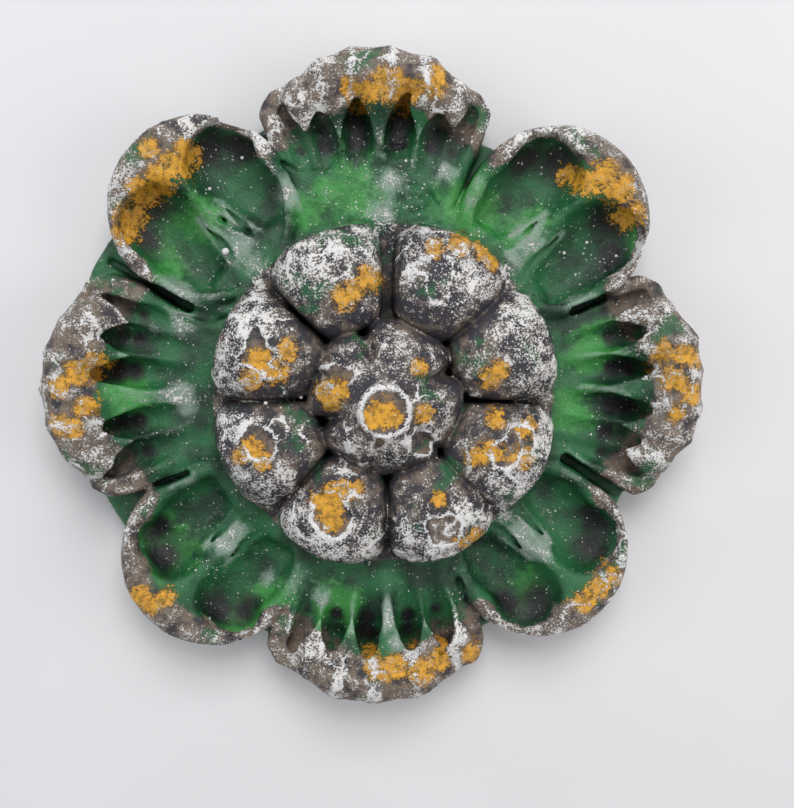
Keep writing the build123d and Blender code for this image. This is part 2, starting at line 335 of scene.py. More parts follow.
def slab(plan, z, bottom, top, edge):
    """Distance from a plan raised between two heights, with rounded edges."""
    across = plan + edge
    up = np.abs(z - (top + bottom) / 2) - (top - bottom) / 2 + edge
    outside = np.sqrt(np.maximum(across, 0.0) ** 2 + np.maximum(up, 0.0) ** 2)
    return np.minimum(np.maximum(across, up), 0.0) + outside - edge


def egg(u, v, z, centre, half):
    """Distance from an ellipsoid, near enough close to its surface."""
    a = [(p - c) / h for p, c, h in zip((u, v, z), centre, half)]
    b = [(p - c) / (h * h) for p, c, h in zip((u, v, z), centre, half)]
    near = np.sqrt(a[0] ** 2 + a[1] ** 2 + a[2] ** 2)
    steep = np.sqrt(b[0] ** 2 + b[1] ** 2 + b[2] ** 2)
    return near * (near - 1.0) / np.maximum(steep, 1e-4)


def horn(u, v, z, start, start_radius, end, end_radius):
    """Distance from a round bar between two points that swells from one radius to the other."""
    step = [b - a for a, b in zip(start, end)]
    length = sum(s * s for s in step)
    t = ((u - start[0]) * step[0] + (v - start[1]) * step[1] + (z - start[2]) * step[2]) / length
    t = np.clip(t, 0.0, 1.0)
    gap = (u - start[0] - t * step[0]) ** 2 + (v - start[1] - t * step[1]) ** 2 + (z - start[2] - t * step[2]) ** 2
    return np.sqrt(gap) - start_radius - t * (end_radius - start_radius)


class Clay:
    """Box of points round the tile that holds how far each lies outside the casting, in millimetres."""

    def __init__(self, step):
        self.step = step
        self.low = np.array(FIELD_LOW)
        self.count = np.ceil((np.array(FIELD_HIGH) - self.low) / step).astype(int) + 1
        self.value = np.full(self.count, FAR, np.float32)

    def window(self, low, high):
        """The part of the box between two corners: its slices and its x, y and z."""
        first = np.clip(np.floor((np.array(low) - self.low) / self.step).astype(int), 0, self.count)
        last = np.clip(np.ceil((np.array(high) - self.low) / self.step).astype(int) + 1, 0, self.count)
        cut = tuple(slice(a, b) for a, b in zip(first, last))
        x, y, z = [
            (self.low[i] + self.step * np.arange(first[i], last[i])).astype(np.float32) for i in range(3)
        ]
        return cut, x[:, None, None], y[None, :, None], z[None, None, :]

    def around(self, u, v, axis, reach, centre=(0.0, 0.0)):
        """Window round a place given along and across a direction, with coordinates along and across it."""
        c = math.cos(math.radians(axis))
        s = math.sin(math.radians(axis))
        x = centre[0] + u * c - v * s
        y = centre[1] + u * s + v * c
        cut, x, y, z = self.window((x - reach, y - reach, -2.0), (x + reach, y + reach, 34.0))
        along, across = turned(x - centre[0], y - centre[1], axis)
        return cut, along, across, z, x, y

    def add(self, cut, shape, soft):
        """Puts a shape on, with a soft join."""
        self.value[cut] = smooth_least(self.value[cut], shape, soft)

    def take(self, cut, shape, soft):
        """Takes a shape away, with a soft edge."""
        self.value[cut] = smooth_most(self.value[cut], -shape, soft)

    def at(self, points):
        """The field at any points, read between its own."""
        place = (points - self.low) / self.step
        cell = np.clip(np.floor(place).astype(int), 0, self.count - 2)
        part = np.clip(place - cell, 0.0, 1.0)
        total = np.zeros(len(points))
        for i in (0, 1):
            for j in (0, 1):
                for k in (0, 1):
                    weight = np.abs(1 - i - part[:, 0]) * np.abs(1 - j - part[:, 1]) * np.abs(1 - k - part[:, 2])
                    total += weight * self.value[cell[:, 0] + i, cell[:, 1] + j, cell[:, 2] + k]
        return total

    def outward(self, points):
        """Unit normals of the field at points."""
        h = self.step * 0.7
        ways = np.eye(3) * h
        slopes = np.stack([self.at(points + w) - self.at(points - w) for w in ways], axis=1)
        return slopes / np.maximum(np.linalg.norm(slopes, axis=1, keepdims=True), 1e-6)


def add_backing(clay):
    """Flat disc behind the petals, with an uneven edge, and the thicker middle."""
    cut, x, y, z = clay.window((-79, -79, -2), (79, 79, 20))
    around = np.degrees(np.arctan2(y, x))
    angles = sorted(BACKING_EDGE)
    edge = np.interp(around, angles, [BACKING_EDGE[a] for a in angles], period=360)
    edge = edge + 0.5 * lumps(x, y, 0.0, 7.0, 11)
    reach = np.sqrt(x * x + y * y)
    disc = slab(reach - edge, z, 0.0, BACKING_TOP + 0.3 * lumps(x, y, 0.0, 9.0, 12), 1.8)
    middle = slab(reach - HUB_RADIUS, z, 0.0, HUB_TOP + 0.4 * lumps(x, y, 0.0, 6.0, 13), 3.0)
    clay.add(cut, smooth_least(disc, middle, 3.0), 0.01)


def scooped_petal(clay, spec):
    """Round petal with two deep cups, a rib between them and a thick rolled lip at the tip."""
    middle = spec["tip"] - spec["wide"]
    cut, u, v, z, x, y = clay.around(52.0, 0.0, spec["axis"], 40.0)
    wave = 0.5 * lumps(x, y, 0.0, 11.0, spec["seed"])
    plan = pear(u, v, PETAL_ROOT, PETAL_ROOT_RADIUS, middle, spec["wide"]) + 0.5 * wave
    top = spec["top"] - SCOOP_FALL * (spec["tip"] - u) + 0.5 * wave
    bottom = LEAF_BOTTOM + 2.6 * ramp(u, 50.0, 77.0)
    body = slab(plan, z, bottom, top, 3.4)
    dish = egg(u, v, z, (46.0, spec["rib"], 27.4), (20.0, 16.4, 17.0))
    body = smooth_most(body, -dish, 2.0)
    for side in ("left", "right"):
        cu, cv, long, wide = spec[side]
        across = (v - cv) * (1.0 + 0.034 * np.maximum(58.0 - u, 0.0))
        body = smooth_most(body, -egg(u, across, z, (cu - 2.2, 0.0, 21.0), (long + 5.6, wide + 2.5, 15.2)), 1.6)
    spread = np.degrees(np.arctan2(v, u - middle))
    fade = np.clip(1.0 - np.abs(spread) / 112.0, 0.0, 1.0)
    bead = 1.3 + 5.4 * fade
    ring = np.sqrt((u - middle) ** 2 + v * v) - (spec["wide"] - bead)
    height = spec["top"] - SCOOP_FALL * (spec["tip"] - u) - bead + 0.2 + 0.5 * wave
    lip = np.sqrt((ring / 1.1) ** 2 + (z - height) ** 2) - bead * 0.96
    cusp = horn(u, v, z, (70.5, 0.0, spec["top"] - 7.2), 5.2, (62.0, spec["rib"], 11.4), 1.3)
    body = smooth_least(body, smooth_least(lip, cusp, 2.0), 1.6)
    for side in ("left", "right"):
        cu, cv, long, wide = spec[side]
        hollow = egg(u, v, z, (61.5, cv + 0.04 * cv, 13.2), (cu + long - 61.0, wide - 1.2, 6.4))
        body = smooth_most(body, -hollow, 2.0)
        way = math.copysign(1.0, cv)
        root = (41.0, spec["rib"] + way * 4.2, 11.6)
        groove = horn(u, v, z, root, 1.1, (56.0, spec["rib"] + way * 2.1, 8.6), 0.5)
        body = smooth_most(body, -groove, 0.7)
    web = slab(plan + 1.2, z, bottom, bottom + 2.4, 1.1)
    clay.add(cut, smooth_least(body, web, 0.8), 0.9)


def fluted_petal(clay, spec):
    """Fan-shaped petal with flutes that run into pockets under a rolled, ridged hood."""
    cut, u, v, z, x, y = clay.around(50.0, 0.0, spec["axis"], 42.0)
    wave = lumps(x, y, 0.0, 9.0, 31)
    half = [
        (20.0, 11.0), (42.0, 16.5), (50.0, 20.0), (56.5, 23.0),
        (62.0, 24.4), (65.5, 22.8), (67.5, 17.0), (68.0, 10.0),
    ]
    plan = polygon(u, v, half + [(a, -b) for a, b in reversed(half)]) - 1.8 + 0.5 * wave
    side = np.abs(v)
    top = 10.9 + 4.4 * ramp(u, 43.0, 61.0) * ramp(side, 24.0, 17.0) + 0.4 * wave
    top = top + 1.6 * ramp(side, 20.0, 25.0) * ramp(u, 48.0, 60.0)
    leaf = slab(plan, z, LEAF_BOTTOM + 1.6 * ramp(u, 55.0, 72.0), top, 1.7)
    bend = FAN_BEND + spec["out"]
    spread = np.degrees(np.arctan2(v, u - FAN_CENTRE))
    around = np.degrees(np.arctan2(v, u))
    fall = ramp(np.abs(spread), 22.0, 50.0)
    arrises = sorted(spec["arrises"])
    spots = np.interp(around, arrises, range(len(arrises)))
    panel = np.abs(np.sin(np.pi * spots))
    across = 6.4 - 2.4 * fall - 0.8 * panel + 0.25 * wave
    up = 7.2 - 2.4 * fall - 0.8 * panel + 0.25 * wave
    ring = np.sqrt((u - FAN_CENTRE) ** 2 + v * v) - bend + 0.8 * fall
    height = spec["top"] - 7.2 - 1.6 * fall
    hood = (np.sqrt((ring / across) ** 2 + ((z - height) / up) ** 2) - 1.0) * np.minimum(across, up)
    hood = smooth_most(hood, (np.abs(spread) - 47.0) * 0.45, 2.5)
    flutes = sorted(spec["flutes"])
    for low, high in zip(flutes[:-1], flutes[1:]):
        a, b = turned(u, v, (low + high) / 2)
        width = min((high - low) * 0.5, 4.2)
        hood = smooth_least(hood, egg(a, b, z, (65.6, 0.0, height), (5.6, width, 5.6)), 1.6)
    petal = smooth_least(leaf, hood, 1.6)
    for angle, depth in zip(spec["flutes"], spec["depths"]):
        a, b = turned(u, v, angle)
        channel = horn(a, b, z, (spec["root"], 0.0, 15.0), 3.2, (65.0, 0.0, 11.2), 1.4 + 2.4 * depth)
        petal = smooth_most(petal, -channel, 1.1)
    clay.add(cut, petal, 0.8)


def boss(clay, spec):
    """Wedge-shaped boss with a pillow top."""
    cut, u, v, z, x, y = clay.around(29.0, 0.0, spec["axis"], 19.0, HUB_CENTRE)
    wave = lumps(x, y, z, 6.5, 41)
    inner = BOSS_INNER + spec["out"]
    outer = BOSS_OUTER + spec["out"]
    half_wedge = math.radians(BOSS_WEDGE / 2)
    tilt = math.tan(half_wedge)
    off = (BOSS_CORNER + BOSS_GAP) / math.cos(half_wedge)
    a = (inner * tilt - off) * spec["across"]
    b = (outer * tilt - off) * spec["across"]
    plan = polygon(u, v, [(inner, a), (outer - 0.8, b), (outer + 0.4, 0.0), (outer - 0.8, -b), (inner, -a)])
    plan = plan - BOSS_CORNER + 0.25 * wave
    body = slab(plan, z, 5.0, spec["top"], 6.2)
    swell = egg(u, v, z, (28.5, 0.0, spec["top"] - 15.0), (16.5, 15.0, 15.2))
    body = smooth_most(body, swell, 2.4) + 0.15 * wave
    clay.add(cut, body, 0.35)


def dome(clay):
    """Lobed dome in the middle, with a ringed button."""
    cut, u, v, z, x, y = clay.around(0.0, 0.0, 0.0, 22.0, HUB_CENTRE)
    wave = lumps(x, y, z, 5.0, 51)
    around = np.degrees(np.arctan2(v, u))
    reach = np.sqrt(u * u + v * v)
    body = egg(u, v, z, (0.0, 0.0, 16.0), (DOME_RADIUS, DOME_RADIUS, 13.2))
    foot = slab(reach - 16.9, z, 4.0, 19.5, 2.0)
    body = smooth_least(body, foot, 2.5) + 0.35 * wave
    for angle, width, depth in DOME_FURROWS:
        gap = (around - angle + 180.0) % 360.0 - 180.0
        furrow = np.exp(-((gap * reach * 0.0175 / width) ** 2)) * ramp(reach, 6.5, 10.0)
        body = body + depth * furrow
    clay.add(cut, body, 0.4)
    cut, u, v, z, x, y = clay.around(*BUTTON_CENTRE, 0.0, 11.0, HUB_CENTRE)
    u, v = u - BUTTON_CENTRE[0], v - BUTTON_CENTRE[1]
    reach = np.sqrt(u**2 + v**2)
    button = slab(reach - BUTTON_RADIUS + 0.4 * lumps(x, y, 0.0, 3.5, 52), z, 15.0, 30.2, 1.6)
    ring = np.sqrt((reach - BUTTON_RING) ** 2 + (z - 29.9) ** 2) - 0.85
    pit = egg(u, v, z, (2.0, -0.4, 31.6), (1.6, 1.4, 2.2))
    button = smooth_most(smooth_least(button, ring, 0.5), -pit, 0.5)
    clay.add(cut, button, 0.8)


def fill_and_slots(clay):
    """The patched filling below the north petal and the slots between the petals."""
    cut, x, y, z = clay.window((-30, 34, -2), (36, 58, 20))
    level = 11.4 + 0.9 * rough(x, y, 0.0, 5.0, 61)
    clay.add(cut, slab(np.sqrt((x / 1.45) ** 2 + (y - 44.0) ** 2) - 9.5, z, 2.0, level, 2.0), 2.0)
    for start, end, width, floor in SLOTS:
        low = (min(start[0], end[0]) - 6, min(start[1], end[1]) - 6, -2)
        high = (max(start[0], end[0]) + 6, max(start[1], end[1]) + 6, 30)
        cut, x, y, z = clay.window(low, high)
        line = horn(x, y, 0.0, (*start, 0.0), width * 0.35, (*end, 0.0), width * 0.5)
        clay.take(cut, slab(line + 0.3 * lumps(x, y, 0.0, 3.0, 62), z, floor, 40.0, 0.6), 0.8)


def line_gap(x, y, places):
    """Distance in the plane from a broken line."""
    best = None
    for (ax, ay), (bx, by) in zip(places[:-1], places[1:]):
        t = ((x - ax) * (bx - ax) + (y - ay) * (by - ay)) / ((bx - ax) ** 2 + (by - ay) ** 2)
        t = np.clip(t, 0.0, 1.0)
        gap = (x - ax - t * (bx - ax)) ** 2 + (y - ay - t * (by - ay)) ** 2
        best = gap if best is None else np.minimum(best, gap)
    return np.sqrt(best)


def crater_gap(x, y, place):
    """Distance from the uneven outline of a broken bubble."""
    px, py, size = place[:3]
    gap = np.sqrt((x - px) ** 2 + (y - py) ** 2) - size + 2.1 * lumps(x, y, 0.0, 3.4, 74)
    return gap + 0.7 * lumps(x, y, 0.0, 1.4, 75)


def veins(x, y, z):
    """Raised wrinkles of thick paint, from 0 to 1."""
    wander = lumps(x, y, z, 4.6, 78) + 0.35 * lumps(x, y, z, 1.9, 79)
    return np.exp(-((wander / 0.085) ** 2)) * ramp(lumps(x, y, z, 7.5, 80), -0.35, 0.2)


def fine_form(clay):
    """Cracks, lumps of filler, small holes and broken bubbles, worked into the surface."""
    for places, width, depth in CRACKS:
        spots = np.array(places)
        low, high = spots.min(0) - 3.0, spots.max(0) + 3.0
        cut, x, y, z = clay.window((*low, 4.0), (*high, 18.0))
        gap = line_gap(x, y, places) + 0.5 * lumps(x, y, 0.0, 2.4, 71)
        lip = np.exp(-(((gap - width * 2.4) / width) ** 2))
        clay.value[cut] += depth * np.exp(-((gap / width) ** 2)) - 0.22 * depth * lip
    for places, sign, side, top, grain, seed in ((LUMPS, -1.0, 4, 26.0, 1.4, 72), (PITS, 1.0, 5, 30.0, 1.5, 73)):
        for px, py, size, depth in places:
            cut, x, y, z = clay.window((px - side, py - side, 4.0), (px + side, py + side, top))
            reach = np.sqrt((x - px) ** 2 + (y - py) ** 2) + 0.4 * lumps(x, y, 0.0, grain, seed)
            clay.value[cut] += sign * depth * np.exp(-((reach / size) ** 2))
    for place in CRATERS:
        px, py, size, depth = place
        cut, x, y, z = clay.window((px - 8, py - 8, 17.0), (px + 8, py + 8, 33.0))
        gap = crater_gap(x, y, place)
        clay.value[cut] += depth * ramp(gap, 0.2, -0.9) - 0.3 * np.exp(-((gap / 0.5) ** 2))


def sculpt(step):
    """The whole casting in the field."""
    clay = Clay(step)
    add_backing(clay)
    for spec in FLUTED_PETALS.values():
        fluted_petal(clay, spec)
    for spec in SCOOPED_PETALS.values():
        scooped_petal(clay, spec)
    fill_and_slots(clay)
    for spec in BOSSES.values():
        boss(clay, spec)
    dome(clay)
    fine_form(clay)
    cut, _, _, z = clay.window(FIELD_LOW, FIELD_HIGH)
    clay.value[cut] = np.maximum(clay.value[cut], -z)
    for axis in range(3):
        value = np.swapaxes(clay.value, 0, axis)
        value[1:-1] = 0.5 * value[1:-1] + 0.25 * (value[:-2] + value[2:])
    return clay


def closeness(x, y, z, dabs):
    """How near each point is to the nearest of some dabs, from 0 to 1."""
    most = np.zeros(len(x))
    for px, py, size in dabs:
        most = np.maximum(most, np.exp(-(((x - px) ** 2 + (y - py) ** 2) / (size * size * 1.6))))
    return most * ramp(z, 4.0, 8.0)


def zones(p):
    """Which points belong to the rolled hoods, and which to the bosses and dome."""
    x, y, z = p.T
    hood = np.zeros(len(x))
    for spec in SCOOPED_PETALS.values():
        u, v = turned(x, y, spec["axis"])
        middle = spec["tip"] - spec["wide"]
        reach = np.hypot(u - middle, v)
        spread = np.abs(np.degrees(np.arctan2(v, u - middle)))
        fade = np.clip(1.0 - spread / 125.0, 0.0, 1.0)
        lip = ramp(reach, spec["wide"] - 3.0 - 8.0 * fade, spec["wide"] - 0.5 - 5.5 * fade)
        lip = lip * np.maximum(ramp(z, 9.8, 12.8), ramp(reach, spec["wide"] - 2.0, spec["wide"] - 0.8))
        hood = np.maximum(hood, lip * ramp(spread, 112.0, 84.0) * ramp(u, 40.0, 50.0))
    for spec in FLUTED_PETALS.values():
        u, v = turned(x, y, spec["axis"])
        reach = np.hypot(u - FAN_CENTRE, v)
        spread = np.abs(np.degrees(np.arctan2(v, u - FAN_CENTRE)))
        band = ramp(reach, 18.2, 22.0) * ramp(spread, 62.0, 50.0) * ramp(z, 9.5, 13.0)
        outside = ramp(reach, 27.0, 29.0) * ramp(spread, 62.0, 50.0) * ramp(z, 4.0, 8.0)
        hood = np.maximum(hood, np.maximum(band, outside) * ramp(u, 40.0, 50.0))
    hub = np.hypot(x - HUB_CENTRE[0], y - HUB_CENTRE[1])
    boss_top = ramp(hub, 41.8, 38.0) * ramp(z, 6.0, 9.0)
    return hood * ramp(z, 6.6, 8.6), boss_top, hub


def hood_arrises(x, y, z):
    """How near each point is to a sharp edge between two hollow panels of a fan petal's hood."""
    most = np.zeros(len(x))
    for spec in FLUTED_PETALS.values():
        u, v = turned(x, y, spec["axis"])
        around = np.degrees(np.arctan2(v, u))
        for angle in spec["arrises"]:
            gap = (around - angle + 0.9 * lumps(x, y, z, 3.0, 77)) * np.hypot(x, y) * math.radians(1.0)
            most = np.maximum(most, np.exp(-((gap / 1.1) ** 2)) * ramp(u, 60.0, 64.0))
    return most * ramp(z, 8.0, 13.0)


def shade_dabs():
    """Places of the darkest painted shade, over the darkest washes: the hollows under the lips and the pockets at the
    ends of the flutes.
    """
    dabs = []
    for spec in SCOOPED_PETALS.values():
        for side in ("left", "right"):
            dabs.append((spec["axis"], spec["tip"] - 11.5, spec[side][1] * 0.95, 5.6))
            dabs.append((spec["axis"], spec["tip"] - 15.0, spec[side][1] * 1.4, 4.4))
    for spec in FLUTED_PETALS.values():
        for angle, depth in zip(spec["flutes"], spec["depths"]):
            for reach, size in ((60.5, 2.6), (56.5, 1.9)):
                a = math.radians(angle)
                dabs.append((spec["axis"], reach * math.cos(a), reach * math.sin(a), size * (0.4 + 0.6 * depth)))
    places = []
    for axis, along, across, size in dabs:
        x, y = turned(along, across, -axis)
        places.append((x, y, size))
    return places


def crater_masks(x, y, z):
    """How near each point is to the raised outline of a broken bubble, and which points lie inside one."""
    rim = np.zeros(len(x))
    inside = np.zeros(len(x))
    for place in CRATERS:
        gap = crater_gap(x, y, place)
        rim = np.maximum(rim, np.exp(-((gap / 0.5) ** 2)))
        inside = np.maximum(inside, ramp(gap, 0.0, -0.9))
    button = np.hypot(x - HUB_CENTRE[0] - BUTTON_CENTRE[0], y - HUB_CENTRE[1] - BUTTON_CENTRE[1])
    rim = np.maximum(rim, np.exp(-(((button - BUTTON_RING - 0.1) / 0.45) ** 2)) * ramp(z, 27.5, 29.0))
    inside = np.maximum(inside, ramp(button, 4.9, 4.2) * ramp(z, 26.0, 28.0))
    high = ramp(z, 18.0, 20.0)
    return rim * high, inside * high


def new_mesh(name, points, faces):
    """Mesh from plain arrays, in metres, with smooth shading."""
    mesh = bpy.data.meshes.new(name)
    mesh.from_pydata((points * MM).tolist(), [], faces.tolist())
    mesh.polygons.foreach_set("use_smooth", [True] * len(mesh.polygons))
    mesh.update()
    return mesh


def weathered(clay, points):
    """Moves the points of the raw surface by the roughness of the plaster and of the paint on it."""
    hood, boss_top, hub = zones(points)
    x, y, z = points.T
    top = ramp(z, 1.0, 4.0)
    worn = np.maximum(hood, boss_top)
    amount = top * (0.10 + 0.16 * worn)
    move = amount * rough(x, y, z, 3.4, 81) + top * (0.04 + 0.09 * worn) * rough(x, y, z, 1.5, 84)
    move = move + top * veins(x, y, z) * (0.08 + 0.12 * worn + 0.12 * ramp(hub, 18.0, 16.0))
    return points + clay.outward(points) * move[:, None]


def cast_mesh(clay, triangles):
    """Closed mesh of the field, thinned to about that many triangles and kept inside the CAD part's box."""
    grid = openvdb.FloatGrid(FAR)
    grid.copyFromArray(clay.value)
    points, quads = grid.convertToQuads(0.0)
    points = weathered(clay, points * clay.step + clay.low)
    thing = placed("casting_rough", new_mesh("casting_rough", points, quads))
    thin = thing.modifiers.new("thin", "DECIMATE")
    thin.ratio = min(1.0, triangles / (2.0 * len(quads)))
    view = bpy.context.evaluated_depsgraph_get()
    view.update()
    mesh = bpy.data.meshes.new_from_object(thing.evaluated_get(view))
    bpy.data.objects.remove(thing)
    low, high = [np.array(corner) / MM for corner in NODE_BOX]
    room = np.array((0.02, 0.02, 0.0))
    kept = np.clip(points_of(mesh), low + room, high - 0.02)
    mesh.vertices.foreach_set("co", (kept * MM).ravel())
    one_closed_body(mesh)
    return mesh


def one_closed_body(mesh):
    """Cuts out slivers, crumbs and doubled faces, and closes the small gaps, so that one closed body is left."""
    form = bmesh.new()
    form.from_mesh(mesh)
    bmesh.ops.remove_doubles(form, verts=form.verts, dist=0.004 * MM)
    for _ in range(6):
        tangled = [side for side in form.edges if len(side.link_faces) > 2]
        slivers = [face for face in form.faces if face.calc_area() < 1e-13]
        doomed = {face for side in tangled for face in side.link_faces} | set(slivers)
        bmesh.ops.delete(form, geom=list(doomed), context="FACES")
        drop_crumbs(form)
        rims = [side for side in form.edges if len(side.link_faces) == 1]
        if not rims:
            break
        bmesh.ops.holes_fill(form, edges=rims, sides=0)
        bmesh.ops.triangulate(form, faces=[face for face in form.faces if len(face.verts) > 3])
    bmesh.ops.recalc_face_normals(form, faces=form.faces)
    bad = sum(not side.is_manifold for side in form.edges)
    print("casting: cubic centimetres", form.calc_volume(signed=True) * 1e6, "bad edges", bad)
    for face in form.faces:
        face.smooth = True
    form.to_mesh(mesh)
    form.free()
    mesh.update()


def drop_crumbs(form):
    """Deletes every body of a mesh but the largest."""
    form.verts.ensure_lookup_table()
    form.verts.index_update()
    body_of = [-1] * len(form.verts)
    bodies = []
    for first in form.verts:
        if body_of[first.index] >= 0:
            continue
        body_of[first.index] = len(bodies)
        body = [first]
        for vert in body:
            for side in vert.link_edges:
                other = side.other_vert(vert)
                if side.link_faces and body_of[other.index] < 0:
                    body_of[other.index] = len(bodies)
                    body.append(other)
        bodies.append(body)
    largest = max(bodies, key=len)
    crumbs = [vert for body in bodies if body is not largest for vert in body]
    bmesh.ops.delete(form, geom=crumbs, context="VERTS")
    bare = [side for side in form.edges if not side.link_faces]
    bmesh.ops.delete(form, geom=bare, context="EDGES")


def points_of(mesh):
    """Vertex positions in millimetres."""
    flat = np.empty(len(mesh.vertices) * 3)
    mesh.vertices.foreach_get("co", flat)
    return flat.reshape(-1, 3) / MM


def store(mesh, name, values):
    """Keeps one number a vertex as an attribute."""
    layer = mesh.attributes.new(name, "FLOAT", "POINT")
    layer.data.foreach_set("value", np.clip(values, 0.0, 1.0).astype(np.float32))


def finish_masks(clay, mesh):
    """Attributes for the paint: how deep and how exposed each point is, which paints reached it, and where shade is
    painted.
    """
    p = points_of(mesh)
    x, y, z = p.T
    n = clay.outward(p)
    # How hidden each point is from the open space along its normal: it sets where black is washed in, and also paints
    # shade in the hollows.
    recess = np.zeros(len(p))
    for reach, share in ((1.2, 0.25), (3.0, 0.35), (6.0, 0.4)):
        open_by = clay.at(p + n * reach) / reach
        recess += share * np.clip(1.0 - open_by, 0.0, 1.0)
    # Points under an overhang, such as a hood, get more of it: painted shade.
    above = clay.at(p + np.array((0.0, 0.0, 1.0)) * 3.5 + n * 0.8)
    recess += 0.5 * np.clip(-above / 3.0, 0.0, 1.0)
    edge = np.zeros(len(p))
    for reach, share in ((1.0, 0.5), (2.2, 0.5)):
        edge += share * np.clip(1.0 + clay.at(p - n * reach) / reach, 0.0, 1.0)
    hood, boss_top, hub = zones(p)
    rim, inside = crater_masks(x, y, z)
    reach = np.hypot(x, y)
    turn = np.degrees(np.arctan2(y, x))
    masks = {
        "recess": recess, "edge": edge, "hood": hood, "boss": boss_top, "rim": rim, "crater": inside,
        "outer_boss": boss_top * np.maximum(ramp(hub, 24.0, 33.0), 0.45 * ramp(hub, 17.5, 15.5)),
        "ochre": closeness(x, y, z, OCHRE_DABS),
        "bright": closeness(x, y, z, BRIGHT_BRUSHES),
        "dragged": closeness(x, y, z, DRAGGED_WHITE),
        "vein": veins(x, y, z) * (0.35 + 0.65 * np.maximum(boss_top, hood)),
        "arris": hood_arrises(x, y, z),
        # Painted shade in the hollows under the lips and the pockets of the flutes, kept off the hoods.
        "shade": closeness(x, y, z, shade_dabs()) * (1.0 - hood),
        "streak": 0.5 + 0.5 * rough(turn * 0.6, reach * 0.16, 0.08 * z, 1.1, 95),
    }
    within = ramp(reach, 76.0, 74.0) * ramp(z, 30.4, 29.6) * ramp(z, 5.0, 8.0)
    patchy = 0.35 + 0.65 * ramp(rough(x, y, z, 14.0, 91), -0.25, 0.35)
    thick = 0.25 * patchy + 0.75 * closeness(x, y, z, SPATTERED)
    masks["spatter"] = within * thick * (1.0 - 0.6 * boss_top) * ramp(n[:, 2], 0.1, 0.5)
    for name, values in masks.items():
        store(mesh, name, values)


class RosetteForm(bpy.types.PropertyGroup):
    """Sizes of the sculpted casting."""

    field_step: bpy.props.FloatProperty(
        name="Field step",
        description="Spacing of the sculpting field",
        default=0.42 * MM,
        unit="LENGTH",
    )
    triangles: bpy.props.IntProperty(
        name="Triangles", description="How many triangles the casting is thinned to", default=190000
    )


def colour_setting(name, description, default):
    """Colour that the user may change."""
    return bpy.props.FloatVectorProperty(
        name=name, description=description, default=default, size=3, subtype="COLOR", min=0.0, max=1.0
    )


class RosettePaint(bpy.types.PropertyGroup):
    """Colours of the paint, in the order in which they were put on."""

    deep_green: colour_setting("Deep green", "Ground of the petals", (0.006, 0.040, 0.018))
    leaf_green: colour_setting("Leaf green", "Middle green of the petals", (0.018, 0.140, 0.046))
    bright_green: colour_setting("Bright green", "Brushed highlights", (0.050, 0.290, 0.058))
    mint: colour_setting("Mint", "Thin white dragged over the green", (0.30, 0.42, 0.34))
    # Near black of the washes in the hollows; the same colour also stands for painted shade under the hoods and in the
    # deepest hollows.
    recess: colour_setting("Recess black", "Dark wash in the hollows", (0.004, 0.004, 0.006))
    violet: colour_setting("Violet grey", "Dark ground of hoods and bosses", (0.035, 0.032, 0.042))
    brown: colour_setting("Warm grey", "Brown grey ground of the hoods", (0.205, 0.155, 0.115))
    ochre: colour_setting("Ochre", "Dabbed gold ochre", (0.80, 0.40, 0.035))
    white: colour_setting("White", "Dry brushed and spattered white", (0.80, 0.79, 0.78))


class RosetteSpatter(bpy.types.PropertyGroup):
    """The white specks and drops."""

    density: bpy.props.FloatProperty(
        name="Specks", description="Specks for each square metre where the spatter is thickest", default=420000.0
    )
    smallest: bpy.props.FloatProperty(
        name="Smallest", description="Radius of the smallest speck", default=0.06 * MM, unit="LENGTH", precision=5
    )
    largest: bpy.props.FloatProperty(
        name="Largest", description="Radius of the largest speck", default=0.24 * MM, unit="LENGTH", precision=5
    )
    seed: bpy.props.IntProperty(name="Seed", description="Seed of the places of the specks", default=7)


class RosetteStage(bpy.types.PropertyGroup):
    """Floor and light."""

    floor: colour_setting("Floor", "Colour of the floor", (0.80, 0.79, 0.81))
    power: bpy.props.FloatProperty(name="Power", description="Strength of all lamps together", default=1.0)


def feed(tree, socket, value):
    """Links an output to a socket, or sets the socket's own value."""
    if isinstance(value, bpy.types.NodeSocket):
        tree.links.new(value, socket)
    elif isinstance(value, (int, float, str)):
        socket.default_value = value
    elif socket.type == "RGBA":
        socket.default_value = (*value, 1.0)
    else:
        socket.default_value = value


def node(tree, kind, feeds=(), **settings):
    """Shader or geometry node with its settings, and pairs of an input and what feeds it."""
    made = tree.nodes.new(kind)
    for key, value in settings.items():
        setattr(made, key, value)
    for key, value in feeds:
        feed(tree, made.inputs[key], value)
    return made


